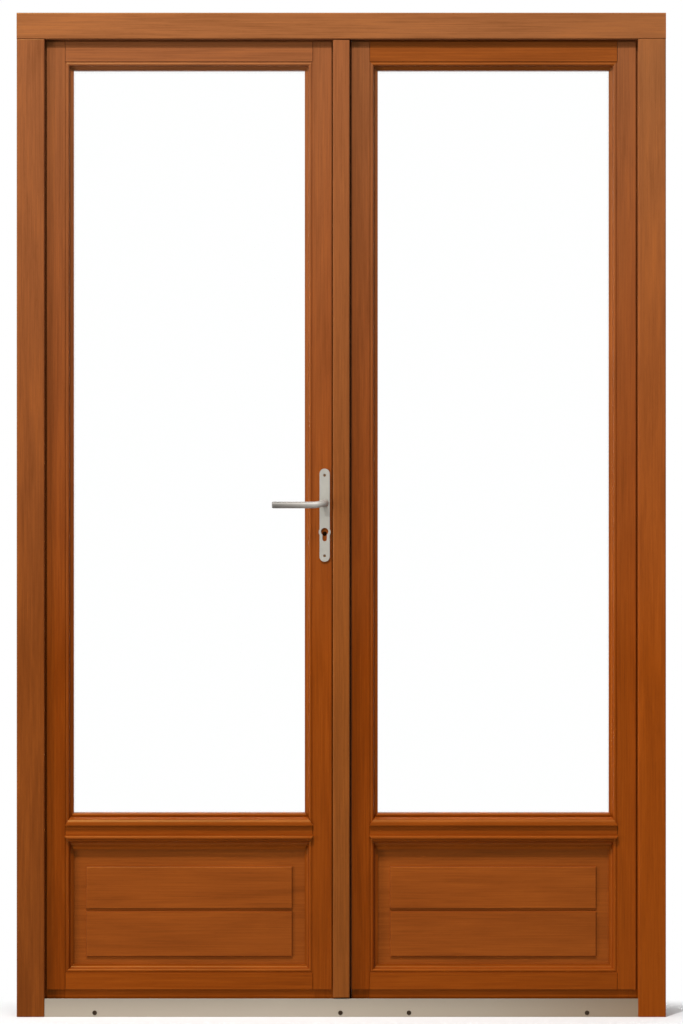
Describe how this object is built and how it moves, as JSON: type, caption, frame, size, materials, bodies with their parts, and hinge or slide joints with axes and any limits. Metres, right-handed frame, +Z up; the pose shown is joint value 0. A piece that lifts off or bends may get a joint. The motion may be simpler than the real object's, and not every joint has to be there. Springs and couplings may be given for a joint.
{
  "type": "french doors",
  "caption": "Pair of glazed timber french doors in their rebated frame, with raised lower panels, moulded sight edges, a lift-lever lock, flush bolts, pin hinges and a metal threshold.",
  "frame": {"origin": "on the floor, under the middle of the frame's width and of the leaves' thickness", "axes": "+X to the right seen from outside, +Y from outside to inside, +Z up"},
  "size_m": [1.4, 0.1624, 2.165],
  "materials": {
    "timber": "satin red-brown stain",
    "threshold": "anodised, pale champagne",
    "screws": "dulled",
    "seal": "matt black",
    "pile": "brown brush pile",
    "glass": "clear",
    "spacer": "mill",
    "handle": "satin nickel",
    "fittings": "satin"
  },
  "bodies": {
    "frame": {"head": "timber", "left_jamb": "timber", "right_jamb": "timber", "threshold": "threshold", "threshold_screws": "screws", "frame_seal": "seal", "threshold_seal": "seal", "head_keep": "fittings", "threshold_keep": "fittings", "left_hinge_lowers": "fittings", "left_hinge_pins": "fittings", "right_hinge_lowers": "fittings", "right_hinge_pins": "fittings"},
    "left_leaf": {"left_hinge_stile": "timber", "left_meeting_stile": "timber", "left_top_rail": "timber", "left_middle_rail": "timber", "left_bottom_rail": "timber", "left_panel": "timber", "left_outer_pane": "glass", "left_spacer": "spacer", "left_inner_pane": "glass", "left_side_beads": "timber", "left_end_beads": "timber", "left_hinge_uppers": "fittings", "astragal": "timber", "meeting_seal": "pile", "lock_case": "fittings", "lock_cover": "fittings", "lock_faceplate": "fittings", "faceplate_screws": "screws", "outer_plate": "handle", "inner_plate": "handle", "plate_screws": "screws"},
    "handle": {"outer_lever": "handle", "inner_lever": "handle", "spindle": "fittings", "hub": "fittings"},
    "lever_bolt": {"lever_bolt": "fittings"},
    "key_bolt": {"key_bolt": "fittings"},
    "right_leaf": {"right_hinge_stile": "timber", "right_meeting_stile": "timber", "right_top_rail": "timber", "right_middle_rail": "timber", "right_bottom_rail": "timber", "right_panel": "timber", "right_outer_pane": "glass", "right_spacer": "spacer", "right_inner_pane": "glass", "right_side_beads": "timber", "right_end_beads": "timber", "right_hinge_uppers": "fittings", "right_meeting_seal": "pile", "strike_plate": "fittings", "top_bolt_case": "fittings", "bottom_bolt_case": "fittings"},
    "top_bolt": {"top_bolt": "fittings"},
    "bottom_bolt": {"bottom_bolt": "fittings"}
  },
  "joints": [
    {"name": "left_leaf_swing", "type": "hinge", "parent": "frame", "child": "left_leaf", "pos_m": [-0.6725, 0.0225, 1.0725], "axis": [0, 0, 1], "range_deg": [0, 170]},
    {"name": "right_leaf_swing", "type": "hinge", "parent": "frame", "child": "right_leaf", "pos_m": [0.6725, 0.0225, 1.0725], "axis": [0, 0, -1], "range_deg": [0, 170]},
    {"name": "lever_lift", "type": "hinge", "parent": "left_leaf", "child": "handle", "pos_m": [-0.036, 0, 1.107], "axis": [0, 1, 0], "range_deg": [0, 45]},
    {"name": "lever_bolt_throw", "type": "slide", "parent": "left_leaf", "child": "lever_bolt", "axis": [1, 0, 0], "range_m": [0, 0.0146]},
    {"name": "key_bolt_throw", "type": "slide", "parent": "left_leaf", "child": "key_bolt", "axis": [1, 0, 0], "range_m": [0, 0.014]},
    {"name": "top_bolt_slide", "type": "slide", "parent": "right_leaf", "child": "top_bolt", "axis": [0, 0, 1], "range_m": [0, 0.016]},
    {"name": "bottom_bolt_slide", "type": "slide", "parent": "right_leaf", "child": "bottom_bolt", "axis": [0, 0, -1], "range_m": [0, 0.016]}
  ],
  "couplings": [
    {"joint": "lever_bolt_throw", "follows": "lever_lift", "m_per_rad": 0.018515}
  ]
}
